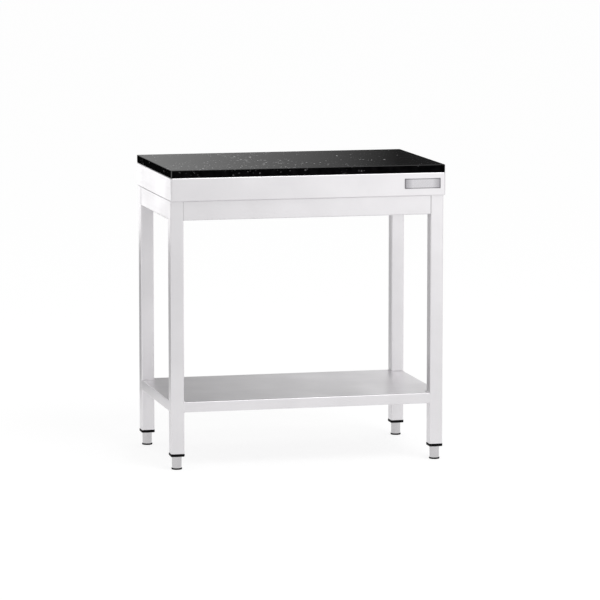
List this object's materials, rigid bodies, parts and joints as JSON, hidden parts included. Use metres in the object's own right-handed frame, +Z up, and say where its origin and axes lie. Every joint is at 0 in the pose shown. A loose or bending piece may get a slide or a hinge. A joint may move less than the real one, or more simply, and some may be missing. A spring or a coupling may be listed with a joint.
{
  "type": "granite top work table",
  "caption": "Work table with a polished dark granite slab on a steel tray, square tube legs joined by rails, a folded lower shelf and feet that screw up and down for levelling.",
  "frame": {"origin": "on the floor under the middle of the table, with the feet screwed in", "axes": "+Z up, +X to the right seen from the front, the front with the plate faces -Y"},
  "size_m": [0.8, 0.5013, 0.855],
  "materials": {
    "granite": "polished black granite with pale flecks",
    "satin_steel": "satin stainless steel",
    "polished_steel": "bright stainless steel",
    "plate_metal": "brushed, bare",
    "black_plastic": "moulded black plastic"
  },
  "bodies": {
    "table": {"granite_slab": "granite", "top_tray": "satin_steel", "top_stiffener_front": "satin_steel", "top_stiffener_rear": "satin_steel", "leg_front_left": "satin_steel", "leg_front_right": "satin_steel", "leg_rear_left": "satin_steel", "leg_rear_right": "satin_steel", "front_rail": "satin_steel", "right_rail": "satin_steel", "rear_rail": "satin_steel", "left_rail": "satin_steel", "top_screw_front_left": "polished_steel", "top_screw_front_right": "polished_steel", "top_screw_rear_left": "polished_steel", "top_screw_rear_right": "polished_steel", "top_screw_left_side": "polished_steel", "top_screw_right_side": "polished_steel", "lower_shelf": "satin_steel", "shelf_stiffener": "satin_steel", "name_plate": "plate_metal", "foot_insert_front_left": "black_plastic", "foot_insert_front_right": "black_plastic", "foot_insert_rear_left": "black_plastic", "foot_insert_rear_right": "black_plastic"},
    "pad_front_left": {"foot_pad_front_left": "black_plastic"},
    "spindle_front_left": {"foot_spindle_front_left": "black_plastic", "foot_sleeve_front_left": "polished_steel"},
    "pad_front_right": {"foot_pad_front_right": "black_plastic"},
    "spindle_front_right": {"foot_spindle_front_right": "black_plastic", "foot_sleeve_front_right": "polished_steel"},
    "pad_rear_left": {"foot_pad_rear_left": "black_plastic"},
    "spindle_rear_left": {"foot_spindle_rear_left": "black_plastic", "foot_sleeve_rear_left": "polished_steel"},
    "pad_rear_right": {"foot_pad_rear_right": "black_plastic"},
    "spindle_rear_right": {"foot_spindle_rear_right": "black_plastic", "foot_sleeve_rear_right": "polished_steel"}
  },
  "joints": [
    {"name": "foot_lift_front_left", "type": "slide", "parent": "table", "child": "pad_front_left", "axis": [0, 0, -1], "range_m": [0, 0.024]},
    {"name": "foot_turn_front_left", "type": "hinge", "parent": "pad_front_left", "child": "spindle_front_left", "pos_m": [-0.3795, -0.215, 0], "axis": [0, 0, -1], "range_deg": [0, 2160]},
    {"name": "foot_lift_front_right", "type": "slide", "parent": "table", "child": "pad_front_right", "axis": [0, 0, -1], "range_m": [0, 0.024]},
    {"name": "foot_turn_front_right", "type": "hinge", "parent": "pad_front_right", "child": "spindle_front_right", "pos_m": [0.3795, -0.215, 0], "axis": [0, 0, -1], "range_deg": [0, 2160]},
    {"name": "foot_lift_rear_left", "type": "slide", "parent": "table", "child": "pad_rear_left", "axis": [0, 0, -1], "range_m": [0, 0.024]},
    {"name": "foot_turn_rear_left", "type": "hinge", "parent": "pad_rear_left", "child": "spindle_rear_left", "pos_m": [-0.3795, 0.215, 0], "axis": [0, 0, -1], "range_deg": [0, 2160]},
    {"name": "foot_lift_rear_right", "type": "slide", "parent": "table", "child": "pad_rear_right", "axis": [0, 0, -1], "range_m": [0, 0.024]},
    {"name": "foot_turn_rear_right", "type": "hinge", "parent": "pad_rear_right", "child": "spindle_rear_right", "pos_m": [0.3795, 0.215, 0], "axis": [0, 0, -1], "range_deg": [0, 2160]}
  ],
  "couplings": [
    {"joint": "foot_lift_front_left", "follows": "foot_turn_front_left", "m_per_rad": 0.0006366},
    {"joint": "foot_lift_front_right", "follows": "foot_turn_front_right", "m_per_rad": 0.0006366},
    {"joint": "foot_lift_rear_left", "follows": "foot_turn_rear_left", "m_per_rad": 0.0006366},
    {"joint": "foot_lift_rear_right", "follows": "foot_turn_rear_right", "m_per_rad": 0.0006366}
  ]
}
